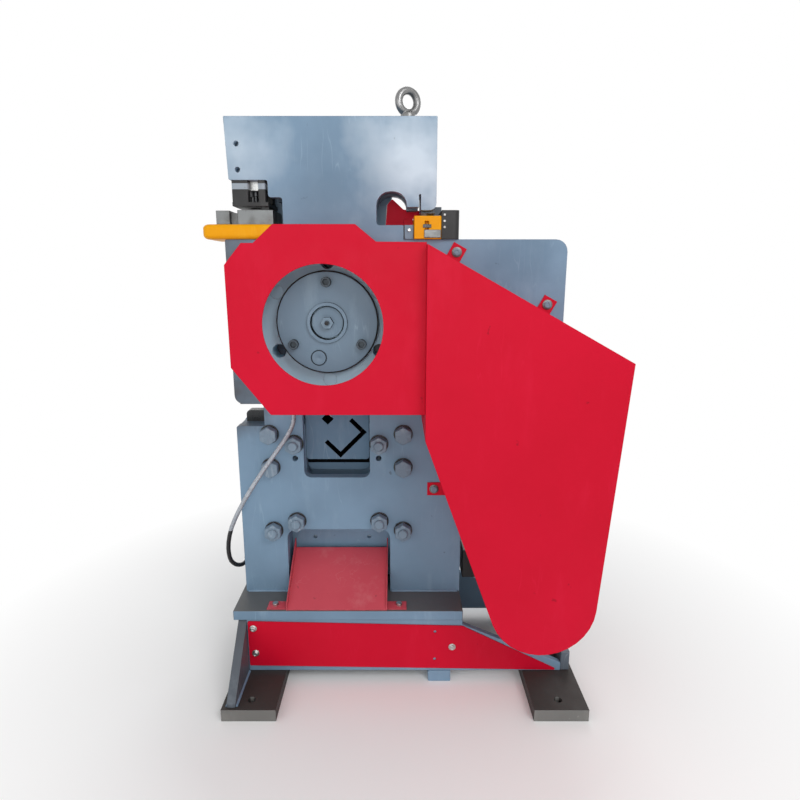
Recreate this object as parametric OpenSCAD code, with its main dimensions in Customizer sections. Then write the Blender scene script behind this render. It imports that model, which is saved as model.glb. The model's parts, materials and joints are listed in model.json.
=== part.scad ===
// Ironworker machine: a slide between two frame plates punches, notches and shears.
// Millimetres, +Z up, front towards -Y, origin on the floor under the middle.

/* [Overall] */
// width from the punch table's end to the belt guard's corner
overall_width = 1092; // [1085:1:1120]
// distance of the working axis left of the middle
axis_left = 198; // [192:1:204]
// height of the frame's top edge above the floor
frame_top = 1597; // [1590:1:1640]

/* [Frame plates] */
// thickness of each of the two frame plates
plate_t = 30; // [26:1:34]
// space between the plates, where the slide runs
plate_gap = 70; // [64:1:76]
// running clearance of the slide on each face
slide_clear = 1; // [0.5:0.1:1.5]
// half width of the shear window
window_half = 97; // [92:1:100]
// height of the window's lower edge
window_z = 606; // [596:1:612]
// diameter of the tie bolts
bolt_d = 30; // [24:1:30]

/* [Base] */
// thickness of the feet
foot_t = 35; // [25:1:40]
// width of each foot
foot_w = 150; // [120:1:160]
// half length of the feet
foot_half = 335; // [334:1:360]
// thickness of the base plate
base_t = 30; // [20:1:35]
// height of the base plate's upper face
base_z = 234; // [228:1:240]
// diameter of the anchor holes
anchor_d = 22; // [18:1:26]

/* [Slide and stroke] */
// working stroke of the slide
stroke = 28; // [20:1:28]
// clearance of the drive block above and below
block_clear = 4; // [4:0.5:6]
// diameter of the eccentric
ecc_d = 120; // [112:1:124]
// diameter of the eccentric shaft's journals
journal_d = 80; // [70:1:84]
// width of the gap that the angle section goes through
section_gap = 13; // [10:0.5:15]

/* [Gear drive] */
// module of the slow gear pair
slow_module = 5; // [4.8:0.1:5]
// teeth of the main gear
main_teeth = 80; // [76:4:80]
// teeth of the slow pinion
slow_pinion_teeth = 20; // [18:1:20]
// face width of the main gear
main_face = 70; // [60:1:72]
// module of the fast gear pair
fast_module = 4; // [3.8:0.1:4]
// teeth of the counter gear
counter_teeth = 76; // [70:1:76]
// teeth of the fast pinion
fast_pinion_teeth = 24; // [22:1:26]
// thinning of each tooth for running clearance
backlash = 0.5; // [0.4:0.05:0.8]
// radial clearance of every running shaft
run_clear = 0.05; // [0.02:0.01:0.09]

/* [Belt drive] */
// outer diameter of the flywheel
flywheel_d = 360; // [320:1:364]
// width of the flywheel's rim
flywheel_w = 80; // [66:1:84]
// outer diameter of the motor pulley
pulley_d = 112; // [100:1:130]
// height of the motor shaft above the floor
motor_z = 343; // [335:1:350]
// pitch of the belt grooves
groove_pitch = 19; // [18:0.5:20]

/* [Covers] */
// sheet thickness of the covers
sheet_t = 3; // [2:0.5:4]
// distance of the gear cover's face from the frame
cover_depth = 237; // [236:1:244]
// distance of the belt guard's face from the frame
guard_depth = 267; // [260:1:268]
// radius of the round window in the gear cover
cover_window_r = 145; // [132:1:150]
// diameter of the hose
hose_d = 13; // [10:0.5:16]

/* [Hidden] */
$fn = 64;
ax = -axis_left;
yi = plate_gap / 2;
yo = yi + plate_t;
ys = yi - slide_clear;
throw = stroke / 2;
axle_z = 1075;
base_lo = base_z - base_t;
hole_clear = 0.5;
// gear layout
slow_c = slow_module * (main_teeth + slow_pinion_teeth) / 2;
fast_c = fast_module * (counter_teeth + fast_pinion_teeth) / 2;
slow_dir = -13;
fast_dir = -25.85;
counter_x = slow_c * cos(slow_dir);
counter_z = axle_z + slow_c * sin(slow_dir);
fast_x = counter_x + fast_c * cos(fast_dir);
fast_z = counter_z + fast_c * sin(fast_dir);
motor_x = 560;
// depths in front of the frame face
counter_y1 = -yo - 9;
counter_y0 = counter_y1 - 38;
main_y1 = counter_y0 - 6;
main_y0 = main_y1 - main_face;
hub_y0 = main_y0 - 22;
fly_y1 = hub_y0 - 4;
fly_y0 = fly_y1 - flywheel_w;
cover_y = -yo - cover_depth;
guard_y = -yo - guard_depth;
shaft_d = 50;
right_x = 642;
guard_right = overall_width / 2 + axis_left;
table_left = -overall_width / 2 + axis_left;
window_top = 830;
stem_half = window_half - 3;
blade_half = stem_half + 1;
block_w = 166;
block_h = 156;
ecc_z = axle_z + throw;
head_left = -275;
head_right = 283;
jaw_z = 1440;
shoulder_z = 1288;
slot_lo = 764;
slot_hi = 830;
slot_x = -208;
blade_top = slot_lo + 32;
blade_rest = blade_top + stroke - 2;
bolt_xz = [[-195, 740], [-195, 639], [-195, 438], [195, 740], [195, 639], [195, 438],
  [-124, 710], [-124, 468], [124, 710], [124, 468]];
small_xz = [[-123, 665], [123, 665]];
blue = [0.50, 0.54, 0.60];
red = [0.78, 0.09, 0.14];
yellow = [0.90, 0.62, 0.08];
steel = [0.66, 0.67, 0.69];
dark = [0.14, 0.14, 0.15];

// places a sub-part relative to the working axis
module place() translate([ax, 0, 0]) children();
// draws a profile of the front view, from depth y0 to y1
module slab(y0, y1) translate([0, y1, 0]) rotate([90, 0, 0]) linear_extrude(height = y1 - y0) children();
// round bar along Y
module ybar(x, z, y0, y1, d) translate([x, y1, z]) rotate([90, 0, 0]) cylinder(d = d, h = y1 - y0);
// block between two corners
module box(a, b) translate(a) cube([b[0] - a[0], b[1] - a[1], b[2] - a[2]]);
// hexagonal bar along Y
module hexbar(x, z, y0, y1, af) translate([x, y1, z]) rotate([90, 0, 0]) cylinder(d = af / cos(30), h = y1 - y0, $fn = 6);

// points of a polygon with corners rounded to the radii r
function unit(v) = v / norm(v);
function turned(a, p, b, r, n) =
  let (u = unit(a - p), v = unit(b - p), half = acos(max(-1, min(1, u * v))) / 2)
  let (t = r / tan(half), c = p + unit(u + v) * r / sin(half), s = p + u * t, e = p + v * t)
  let (a0 = atan2(s[1] - c[1], s[0] - c[0]), a1 = atan2(e[1] - c[1], e[0] - c[0]))
  let (d = (a1 - a0 > 180) ? a1 - a0 - 360 : (a1 - a0 < -180) ? a1 - a0 + 360 : a1 - a0)
  [for (i = [0:n]) c + r * [cos(a0 + d * i / n), sin(a0 + d * i / n)]];
function rounded(p, n = 5) = [for (i = [0:len(p) - 1])
  let (q = p[i], a = p[(i + len(p) - 1) % len(p)], b = p[(i + 1) % len(p)])
  each (q[2] > 0 ? turned([a[0], a[1]], [q[0], q[1]], [b[0], b[1]], q[2], n) : [[q[0], q[1]]])];

// involute gear outline, thinned by the backlash, with one tooth centred at angle 0
function inv_angle(rb, r) = r <= rb ? 0 : let (k = sqrt(r * r / rb / rb - 1)) k * 180 / PI - atan(k);
function gear_points(m, z) =
  let (rp = m * z / 2, rb = rp * cos(20), ra = rp + m, rf = rp - 1.25 * m)
  let (half = 90 / z + inv_angle(rb, rp) - backlash / 2 / rp * 180 / PI)
  let (rs = [max(rb, rf + 0.1), rp - 0.3 * m, rp + 0.4 * m, ra])
  [for (i = [0:z - 1]) each concat(
    [[rf * cos(360 * i / z - half), rf * sin(360 * i / z - half)]],
    [for (r = rs) let (t = 360 * i / z - half + inv_angle(rb, r)) [r * cos(t), r * sin(t)]],
    [for (k = [3:-1:0]) let (r = rs[k], t = 360 * i / z + half - inv_angle(rb, r)) [r * cos(t), r * sin(t)]],
    [[rf * cos(360 * i / z + half), rf * sin(360 * i / z + half)]])];
// spur gear blank at x, z with a tooth centred at the angle
module spur(x, z, y0, y1, m, teeth, angle) translate([x, y1, z]) rotate([90, 0, 0]) rotate([0, 0, angle])
  linear_extrude(height = y1 - y0) polygon(gear_points(m, teeth));

// outline of the frame plates, with the punch throat, notch arch and flat-bar slot
frame_outline = rounded([[-290, base_z, 0], [-290, slot_lo, 6], [slot_x, slot_lo, 0], [slot_x, slot_hi, 0],
  [-290, slot_hi, 25], [-290, shoulder_z, 6], [-130, shoulder_z, 0], [-130, 1396, 6], [-167, 1396, 8],
  [-167, jaw_z, 6], [-270, jaw_z, 4], [head_left, frame_top, 3], [head_right, frame_top, 3],
  [head_right, 1363, 18], [241.5, 1363, 3], [241.5, 1404, 0], [236.5, 1404, 0], [236.5, 1371, 2],
  [204, 1371, 2], [204, 1411, 36], [122, 1411, 36], [122, 1325, 9], [195, 1325, 3], [195, shoulder_z, 0],
  [right_x, shoulder_z, 33], [right_x, 640, 40], [420, 520, 40], [370, 470, 30], [370, base_z, 0]]);
module frame_profile() difference() {
  polygon(frame_outline);
  polygon(rounded([[-window_half, window_z, 20], [window_half, window_z, 20], [window_half, window_top, 20],
    [-window_half, window_top, 20]]));
}
// outlet for cut pieces, in the front plate
module outlet_profile() polygon(rounded([[-156, base_z - 1, 0], [156, base_z - 1, 0], [156, 440, 30], [-156, 440, 30]]));
module frame_plate(y0, y1) difference() {
  slab(y0, y1) frame_profile();
  ybar(0, axle_z, y0 - 1, y1 + 1, bush_d);
  ybar(counter_x, counter_z, y0 - 1, y1 + 1, small_bush_d);
  ybar(fast_x, fast_z, y0 - 1, y1 + 1, small_bush_d);
  for (p = bolt_xz) ybar(p[0], p[1], y0 - 1, y1 + 1, bolt_d + 2 * hole_clear);
  for (p = small_xz) ybar(p[0], p[1], y0 - 1, y1 + 1, 17);
  for (z = [1466, 1530]) ybar(-245, z, y0 - 1, y1 + 1, 14);
}
bush_d = ecc_d + stroke + 4;
small_bush_d = shaft_d + 24;

module front_plate() color(blue) place() difference() {
  frame_plate(-yo, -yi);
  slab(-yo - 1, -yi + 1) outlet_profile();
}
module rear_plate() color(blue) place() difference() {
  frame_plate(yi, yo);
  for (s = [-1, 1]) ybar(s * 87, 368, yi - 1, yo + 1, 12);
}

// blocks that space the plates and guide the section blade
module spacer(s) difference() {
  slab(-yi, yi) polygon([[s * 286, base_z], [s * 286, 762], [s * blade_half, 762], [s * blade_half, 448],
    [s * 160, 448], [s * 160, base_z]]);
  for (p = bolt_xz) ybar(p[0], p[1], -yi - 1, yi + 1, bolt_d + 2 * hole_clear);
  for (p = small_xz) ybar(p[0], p[1], -yi - 1, yi + 1, 17);
}
module left_spacer() color(blue) place() spacer(-1);
module right_spacer() color(blue) place() spacer(1);
slide_half = 128;
module left_guide() color(steel) place() box([-slide_half - 40, -yi, 930], [-slide_half - 1, yi, 1262]);
module right_guide() color(steel) place() box([slide_half + 1, -yi, 900], [slide_half + 40, yi, 1262]);
module top_spacer() color(blue) place() difference() {
  box([head_left + 6, -yi, frame_top - 26], [head_right - 4, yi, frame_top]);
  translate([207, 0, frame_top - 24]) cylinder(d = 20 + 2 * hole_clear, h = 30);
}
// through bolts with nuts and washers on both faces
nut_af = 46 * bolt_d / 30;
module tie_bolts() color(steel) place() for (p = bolt_xz) union() {
  ybar(p[0], p[1], -yo - 36, yo + 36, bolt_d);
  for (s = [-1, 1]) {
    hexbar(p[0], p[1], s < 0 ? -yo - 28 : yo + 4, s < 0 ? -yo - 4 : yo + 28, nut_af);
    ybar(p[0], p[1], s < 0 ? -yo - 4 : yo, s < 0 ? -yo : yo + 4, nut_af + 10);
  }
}
module eyebolt() color(steel) translate([ax + 207, 0, frame_top]) rotate([0, 0, 28]) union() {
  translate([0, 0, -22]) cylinder(d = 20, h = 30);
  cylinder(d = 40, h = 12);
  translate([0, 0, 10]) cylinder(d1 = 36, d2 = 22, h = 14);
  translate([0, 0, 53]) rotate([90, 0, 0]) rotate_extrude() translate([27, 0]) circle(d = 17, $fn = 24);
}

// base
module base_plate() color(blue) place() box([-303, -175, base_lo], [370, 175, base_z]);
module foot(x0) difference() {
  box([x0, -foot_half, 0], [x0 + foot_w, foot_half, foot_t]);
  for (s = [-1, 1]) translate([x0 + foot_w / 2, s * (foot_half - 40), -1]) cylinder(d = anchor_d, h = foot_t + 2);
}
module left_foot() color(dark) place() foot(-304);
module right_foot() color(dark) place() foot(702 - foot_w);
module side_gusset(x0, x1, z1, y1) translate([x0, 0, 0]) rotate([90, 0, 90]) linear_extrude(height = x1 - x0)
  polygon([[-foot_half + 8, foot_t], [foot_half - 8, foot_t], [foot_half - 8, foot_t + 12], [y1, z1], [-y1, z1],
    [-foot_half + 8, foot_t + 12]]);
module left_gusset() color(blue) place() side_gusset(-290, -265, base_lo, 165);
module right_gusset() color(blue) place() box([beam_end, -beam_y, foot_t], [beam_end + 26, beam_y, 96]);
module beam(y0, y1) color(blue) place() slab(y0, y1) polygon([[-265, foot_t], [beam_end, foot_t], [beam_end, 60],
  [370, base_lo - 16], [370, base_lo], [-265, base_lo]]);
beam_y = 172;
beam_end = 702 - foot_w + 114;
beam_t = 18;
module front_beam() beam(-beam_y, beam_t - beam_y);
module rear_beam() beam(beam_y - beam_t, beam_y);
module middle_foot() color(blue) place() for (s = [-1, 1])
  box([270, s > 0 ? 110 : -beam_y - 4, 0], [337, s > 0 ? beam_y + 4 : -110, foot_t]);
panel_xz = [[-246, 177], [-243, 95], [340, 116]];
module front_panel() color(red) place() difference() {
  slab(-beam_y - sheet_t, -beam_y) polygon(rounded([[-262, foot_t + 18, 4], [beam_end - 7, foot_t + 3, 3], [370, base_lo - 19, 4],
    [-262, base_lo - 4, 4]]));
  for (z = [75, 166]) ybar(289, z, -beam_y - sheet_t - 1, -beam_y + 1, 9);
}
module panel_screws() color(steel) place() for (p = panel_xz)
  hexbar(p[0], p[1], -beam_y - sheet_t - 7, -beam_y - sheet_t, 16);

// chute for cut pieces, with a tab on each side
chute_half = 148;
module chute_strip(dz) polygon([[18, 340 + dz], [-172, base_z + sheet_t + dz], [-172, base_z + dz], [18, 340 - sheet_t + dz]]);
module chute() color(red) place() union() {
  translate([-chute_half, 0, 0]) rotate([90, 0, 90]) linear_extrude(height = 2 * chute_half) chute_strip(0);
  for (s = [-1, 1]) translate([s > 0 ? chute_half - sheet_t : -chute_half, 0, 0]) rotate([90, 0, 90])
    linear_extrude(height = sheet_t) polygon([[18, 338], [18, 372], [-172, base_z + 14], [-172, base_z], [-160, base_z]]);
  for (s = [-1, 1]) box([s > 0 ? chute_half - 1 : -205, -168, base_z], [s > 0 ? 205 : 1 - chute_half, -128, base_z + sheet_t]);
}
module chute_screws() color(steel) place() for (s = [-1, 1])
  translate([s * 183, -148, base_z + sheet_t]) cylinder(d = 16 / cos(30), h = 8, $fn = 6);

// covers
cover_right = 247;
cover_hi = 194;
cover_lo = -219;
cover_outline = [[-110, 234], [81, 234], [129, 195], [cover_right, cover_hi], [cover_right, cover_lo], [-134, cover_lo],
  [-226, -101], [-227, 142], [-185, 192], [-157, 192]];
module gear_cover() color(red) place() difference() {
  slab(cover_y, -yo) translate([0, axle_z]) polygon(cover_outline);
  slab(cover_y + sheet_t, -yo + 1) translate([0, axle_z]) offset(delta = -sheet_t) polygon(cover_outline);
  box([cover_right - 2 * sheet_t, cover_y + sheet_t, axle_z + cover_lo + sheet_t],
    [cover_right + 1, -yo + 1, axle_z + cover_hi - sheet_t]);
  ybar(0, axle_z, cover_y - 1, cover_y + sheet_t + 1, 2 * cover_window_r);
}
// belt guard: tangent shell round the flywheel and the motor pulley
guard_r = 140;
function arc(x, z, r, a0, a1, n) = [for (i = [0:n]) [x + r * cos(a0 + (a1 - a0) * i / n), z + r * sin(a0 + (a1 - a0) * i / n)]];
function guard_outline(d) = concat([[cover_right + d, axle_z + 189 - 1.15 * d], [guard_right - 1.3 * d, axle_z - 87 - d / 2]],
  arc(motor_x, motor_z, guard_r - d, -4, -159, 14), [[cover_right + d, axle_z - 279 + d / 4]]);
guard_xz = [[340, 1254], [594, 1113], [287, 571]];
module guard_tab(p, a) translate([p[0], 0, p[1]]) rotate([0, a, 0]) box([-20, -yo - sheet_t, -70], [20, -yo, 20]);
module belt_guard() color(red) place() union() {
  difference() {
    slab(guard_y, -yo) polygon(guard_outline(0));
    slab(guard_y + sheet_t, -yo + 1) polygon(guard_outline(sheet_t));
    box([cover_right - 7, cover_y, axle_z + cover_lo], [cover_right + 2 * sheet_t, -yo + 1, axle_z + 185]);
  }
  intersection() {
    union() {
      guard_tab(guard_xz[0], 29);
      guard_tab(guard_xz[1], 29);
      translate([287, 0, 571]) box([-20, -yo - sheet_t, -20], [120, -yo, 20]);
    }
    difference() {
      slab(-yo - sheet_t, -yo) polygon([[200, 500], [400, 500], [680, 900], [680, 1288], [200, 1288]]);
      slab(-yo - sheet_t - 1, -yo + 1) polygon(guard_outline(sheet_t));
    }
  }
}
module guard_screws() color(steel) place() for (p = guard_xz)
  hexbar(p[0], p[1], -yo - sheet_t - 8, -yo - sheet_t, 18);

// bearing bushes in the plates
module bush(x, z, y0, y1, d, bore, flange, s) difference() {
  union() {
    ybar(x, z, y0, y1, d);
    ybar(x, z, s < 0 ? y0 - 8 : y1, s < 0 ? y0 : y1 + 8, flange);
  }
  ybar(x, z, y0 - 9, y1 + 9, bore + 2 * run_clear);
}
module front_bush() color(steel) place() bush(0, axle_z, -yo, -yi, bush_d, journal_d, bush_d + 26, -1);
module rear_bush() color(steel) place() bush(0, axle_z, yi, yo, bush_d, journal_d, bush_d + 26, 1);
module bush_pair(x, z) {
  bush(x, z, -yo, -yi, small_bush_d, shaft_d, small_bush_d + 20, -1);
  bush(x, z, yi, yo, small_bush_d, shaft_d, small_bush_d + 20, 1);
}
module counter_bushes() color(steel) place() bush_pair(counter_x, counter_z);
module fast_bushes() color(steel) place() bush_pair(fast_x, fast_z);

// punch station
punch_x = -214;
table_hi = 1327;
die_hi = 1365;
module punch_table() color(yellow) place() difference() {
  translate([0, 0, shoulder_z]) linear_extrude(height = table_hi - shoulder_z)
    polygon(rounded([[table_left, -78, 18], [-138, -78, 3], [-138, 78, 3], [table_left, 78, 18]]));
  translate([punch_x, 0, shoulder_z - 1]) cylinder(d = 40, h = 60);
}
module die_block() color(steel) place() difference() {
  union() {
    box([-254, -58, table_hi], [-157, 58, die_hi]);
    box([-278, -34, table_hi], [-253, 34, die_hi - 6]);
    box([-314, -52, table_hi], [-277, 52, die_hi - 1]);
  }
  translate([punch_x, 0, table_hi - 1]) cylinder(d = 23, h = 60);
}
strip_lo = die_hi + 9;
strip_hi = strip_lo + 10;
module stripper() color(dark) place() difference() {
  union() {
    box([-264, -63, strip_lo], [-168, 63, strip_hi]);
    for (s = [-1, 1]) {
      box([-190, s > 0 ? 36 : -50, die_hi], [-170, s > 0 ? 50 : -36, strip_lo + 1]);
      for (x = [[-264, -220], [-194, -174]]) translate([0, 0, strip_hi - 1]) linear_extrude(height = jaw_z - strip_hi + 1)
        polygon(rounded([[x[0], s * 38, 4], [x[1], s * 38, 4], [x[1], s * 63, 4], [x[0], s * 63, 4]]));
    }
  }
  translate([punch_x, 0, die_hi - 1]) cylinder(d = 33, h = 40);
}
holder_hi = 1431;
holder_lo = 1417;
module punch_holder() color(steel) place() box([-261, -33, holder_lo], [-168, 33, jaw_z + 2]);
module punch() color(dark) place() union() {
  translate([punch_x, 0, die_hi + stroke - 3]) cylinder(d = 22, h = holder_lo - die_hi - stroke + 3);
  translate([punch_x, 0, holder_lo - 13]) cylinder(d = 30, h = 13);
}

// notching station
notch_lo = 1348;
module notch_die() color(yellow) place() difference() {
  box([223, -80, shoulder_z], [296, 80, notch_lo]);
  box([240, -yi - 1, notch_lo - 30], [284, yi + 1, notch_lo + 1]);
  box([252, -81, notch_lo - 40], [262, -66, notch_lo - 14]);
}
module notch_tool_block() color(dark) place() union() {
  translate([0, 0, shoulder_z]) linear_extrude(height = 75)
    polygon(rounded([[297, -74, 0], [345, -74, 12], [345, 74, 12], [297, 74, 0]]));
  box([198, -70, shoulder_z], [222, 70, 1325]);
}
module notch_guard() color(red) place() slab(yo, yo + sheet_t) polygon(rounded([[142, 1300, 3], [196, 1300, 3],
  [196, 1352, 4], [258, 1352, 4], [252, 1374, 5], [196, 1378, 9], [163, 1408, 5], [148, 1390, 6]]));
module notch_punch() color(dark) place() box([243, -yi + 2, notch_lo + 10], [281, yi - 2, 1434]);

// flat-bar shear blades
module lower_blade() color(dark) place() slab(0.2, 32) polygon(rounded([[-276, slot_lo - 2, 0],
  [slot_x + 1, slot_lo - 2, 0], [slot_x + 1, blade_top, 2], [-276, blade_top, 12]]));
module upper_blade() color(dark) place() box([-284, -32, blade_rest], [slot_x + 2, -0.2, 858]);

// angle section shear: fixed blade on the rear plate, moving blade on the slide
blade_y = -4;
module section_cut() {
  h = section_gap / sqrt(2);
  polygon([[8, 667 - h], [78 + h, 737], [40 + h / 2, 775 + h / 2], [40 - h / 2, 775 - h / 2], [78 - h, 737],
    [8, 667 + h], [-34 + h / 2, 709 + h / 2], [-34 - h / 2, 709 - h / 2]]);
  polygon([[-28, 760], [-10, 778], [-28, 796], [-46, 778]]);
}
module fixed_section_blade() color(steel) place() slab(blade_y + 0.2, yo - 4) difference() {
  polygon(rounded([[-blade_half, window_z + 4, 20], [blade_half, window_z + 4, 20], [blade_half, 804, 0],
    [-blade_half, 804, 0]]));
  section_cut();
}
module moving_section_blade() color(blue) place() slab(-ys, blade_y - 0.2) difference() {
  polygon(rounded([[-stem_half, 653, 9], [stem_half, 653, 9], [stem_half, 836, 0], [-stem_half, 836, 0]]));
  section_cut();
}
slide_outline = [[-stem_half, 836], [stem_half, 836], [stem_half, 872], [slide_half, 890], [slide_half, 1300],
  [100, 1330], [100, 1434], [274, 1434], [274, 1560], [-262, 1560], [-262, jaw_z + 2], [-128, jaw_z + 2],
  [-110, 1400], [-110, 1300], [-slide_half, 1280], [-slide_half, 905], [-284, 905], [-284, 858], [-stem_half, 858]];
module slide_plate() color(blue) place() difference() {
  slab(-ys, ys) polygon(slide_outline);
  box([-block_w / 2 - throw - 2, -yi, ecc_z - block_h / 2 - block_clear],
    [block_w / 2 + throw + 2, yi, ecc_z + block_h / 2 + block_clear]);
}

// eccentric shaft at its upper dead centre, with its square drive block
module eccentric_shaft() color(steel) place() union() {
  ybar(0, axle_z, hub_y0 + 6, yo + 14, journal_d);
  ybar(0, ecc_z, -ys + 1, ys - 1, ecc_d);
}
module drive_block() color([0.62, 0.45, 0.20]) place() difference() {
  box([-block_w / 2, -ys + 2, ecc_z - block_h / 2], [block_w / 2, ys - 2, ecc_z + block_h / 2]);
  ybar(0, ecc_z, -ys, ys, ecc_d + 2 * run_clear);
}
module grease_fitting() color(steel) place() union() {
  hexbar(0, axle_z, hub_y0 - 8, hub_y0 + 6, 28);
  ybar(0, axle_z, hub_y0 - 16, hub_y0 - 7, 12);
}

// main gear with its hub, running free on the shaft
hub_r = 127;
hub_angles = [90, 212, 328];
module main_gear() color(dark) place() difference() {
  union() {
    spur(0, axle_z, main_y0, main_y1, slow_module, main_teeth, slow_dir);
    ybar(0, axle_z, main_y1 - 1, -yo - 12, journal_d + 60);
  }
  ybar(0, axle_z, hub_y0 - 1, -yo + 1, journal_d + 2 * run_clear);
  difference() {
    ybar(0, axle_z, main_y0 - 1, main_y0 + 10, slow_module * main_teeth - 34);
    ybar(0, axle_z, main_y0 - 2, main_y0 + 11, 2 * hub_r - 16);
  }
  for (a = [30:60:330]) ybar(152 * cos(a), axle_z + 152 * sin(a), main_y0 - 1, main_y1 + 1, 36);
}
module hub_cover() color(steel) place() difference() {
  union() {
    ybar(0, axle_z, hub_y0, main_y0, 2 * hub_r);
    ybar(0, axle_z, hub_y0 - 6, hub_y0 + 1, 103);
  }
  ybar(0, axle_z, hub_y0 - 7, main_y0 + 1, journal_d + 6);
  ybar(-24, axle_z - 90, hub_y0 - 1, hub_y0 + 5, 41);
}
module hub_screws() color(dark) place() for (a = hub_angles) difference() {
  ybar(102 * cos(a), axle_z + 102 * sin(a), hub_y0 - 16, hub_y0, 25);
  hexbar(102 * cos(a), axle_z + 102 * sin(a), hub_y0 - 17, hub_y0 - 6, 14);
}
// counter shaft with its gear and pinion
module counter_shaft() color(dark) place() union() {
  ybar(counter_x, counter_z, main_y0 - 4, yo + 12, shaft_d);
  spur(counter_x, counter_z, main_y0, main_y1, slow_module, slow_pinion_teeth,
    slow_dir + 180 + 180 / slow_pinion_teeth);
  spur(counter_x, counter_z, counter_y0, counter_y1, fast_module, counter_teeth, fast_dir);
}
module flywheel_shaft() color(steel) place() union() {
  ybar(fast_x, fast_z, fly_y0 - 6, yo + 12, shaft_d);
  spur(fast_x, fast_z, counter_y0, counter_y1, fast_module, fast_pinion_teeth,
    fast_dir + 180 + 180 / fast_pinion_teeth);
}
// grooved rim: radius falls by 11 in each groove
function rim_profile(r, w, bore) = concat([[bore, 0], [r, 0]], [for (i = [0:2]) let (c = w / 2 + (i - 1) * groove_pitch)
  each [[r, c - 8.5], [r - 12, c - 5], [r - 12, c + 5], [r, c + 8.5]]], [[r, w], [bore, w]]);
module flywheel() color(dark) place() difference() {
  translate([fast_x, fly_y1, fast_z]) rotate([90, 0, 0]) rotate_extrude($fn = 96)
    polygon(rim_profile(flywheel_d / 2, flywheel_w, shaft_d / 2));
  for (y = [fly_y0 - 1, fly_y1 - 24]) difference() {
    ybar(fast_x, fast_z, y, y + 25, flywheel_d - 70);
    ybar(fast_x, fast_z, y - 1, y + 26, 110);
  }
}

// motor, its stand and its belts
motor_y0 = -150;
module motor_stand() color(dark) place() union() {
  box([462, 4 - yo, motor_z - 127], [660, 112, motor_z - 112]);
  for (x = [556, 600]) box([x, 4 - yo, foot_t], [x + 16, 80, motor_z - 126]);
}
module motor_body() color(dark) place() union() {
  ybar(motor_x, motor_z, motor_y0 + 14, 118, 208);
  difference() {
    ybar(motor_x, motor_z, motor_y0, motor_y0 + 15, 224);
    ybar(motor_x, motor_z, motor_y0 - 1, motor_y0 + 10, 29);
  }
  for (a = [0:20:340]) translate([motor_x, 0, motor_z]) rotate([0, a, 0]) box([100, motor_y0 + 22, -2], [111, 108, 2]);
  for (s = [-1, 1]) box([motor_x + (s > 0 ? 52 : -98), 4 - yo, motor_z - 112], [motor_x + (s > 0 ? 98 : -52), 80, motor_z - 80]);
}
module motor_fan_cover() color(dark) place() difference() {
  ybar(motor_x, motor_z, 118, 190, 216);
  ybar(motor_x, motor_z, 117, 186, 208);
  for (r = [36, 62, 88]) for (a = [0:45:315]) ybar(motor_x + r * cos(a), motor_z + r * sin(a), 180, 200, 13);
}
module terminal_box() color(dark) place() box([motor_x - 182, 4 - yo, motor_z - 66], [motor_x - 111, 50, motor_z + 24]);
module motor_rotor() color(steel) place() union() {
  ybar(motor_x, motor_z, fly_y0 - 4, motor_y0 + 9.5, 28);
  translate([motor_x, fly_y1, motor_z]) rotate([90, 0, 0]) rotate_extrude($fn = 64)
    polygon(rim_profile(pulley_d / 2, flywheel_w, 13));
}
// one belt: trapezoid section run round both pulleys, just clear of the grooves
belt_y = fly_y0 + flywheel_w / 2;
belt_dx = motor_x - fast_x;
belt_dz = motor_z - fast_z;
belt_len = norm([belt_dx, belt_dz]);
belt_dir = atan2(belt_dz, belt_dx);
belt_wrap = acos((flywheel_d - pulley_d) / 2 / belt_len);
function belt_loop(k) = concat(
  arc(fast_x, fast_z, flywheel_d / 2 + k, belt_dir + belt_wrap, belt_dir + 360 - belt_wrap, 40),
  arc(motor_x, motor_z, pulley_d / 2 + k, belt_dir - belt_wrap, belt_dir + belt_wrap, 16));
module v_belts() color(dark) place() for (i = [-1:1]) difference() {
  slab(belt_y + i * groove_pitch - 6.6, belt_y + i * groove_pitch + 6.6) polygon(belt_loop(1.5));
  slab(belt_y + i * groove_pitch - 8, belt_y + i * groove_pitch + 8) polygon(belt_loop(-5));
}

// hose: a smooth run between its two glands, as rings swept along a curve
hose_y = -yo - 24;
hose_p = [[-118, hose_y, 826], [-118, hose_y, 813], [-118, hose_y, 800], [-120.5, hose_y - 3, 778],
  [-134, hose_y - 13, 748], [-163, hose_y - 25, 706], [-205, hose_y - 33, 648],
  [-246, hose_y - 33, 586], [-283, hose_y - 25, 524], [-312, hose_y - 14, 464],
  [-327, hose_y - 5, 412], [-330, hose_y, 374], [-327, hose_y + 8, 345], [-317.5, hose_y + 25, 323],
  [-306.5, hose_y + 46, 312], [-300, hose_y + 68, 310], [-300, hose_y + 80, 310],
  [-300, hose_y + 92, 310]];
function curve(p, i, t) = let (a = p[max(0, i - 1)], b = p[i], c = p[i + 1], d = p[min(len(p) - 1, i + 2)])
  0.5 * (2 * b + (c - a) * t + (2 * a - 5 * b + 4 * c - d) * t * t + (3 * b - a - 3 * c + d) * t * t * t);
hose_path = concat([for (i = [0:len(hose_p) - 2]) each [for (t = [0, 0.5]) curve(hose_p, i, t)]], [hose_p[len(hose_p) - 1]]);
function ring(p, i, r, n) = let (t = unit(p[min(i + 1, len(p) - 1)] - p[max(i - 1, 0)]))
  let (u = unit(cross(t, [0.35, 0.9, 0.25])), v = cross(t, u))
  [for (k = [0:n - 1]) p[i] + r * (cos(360 * k / n) * u + sin(360 * k / n) * v)];
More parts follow.
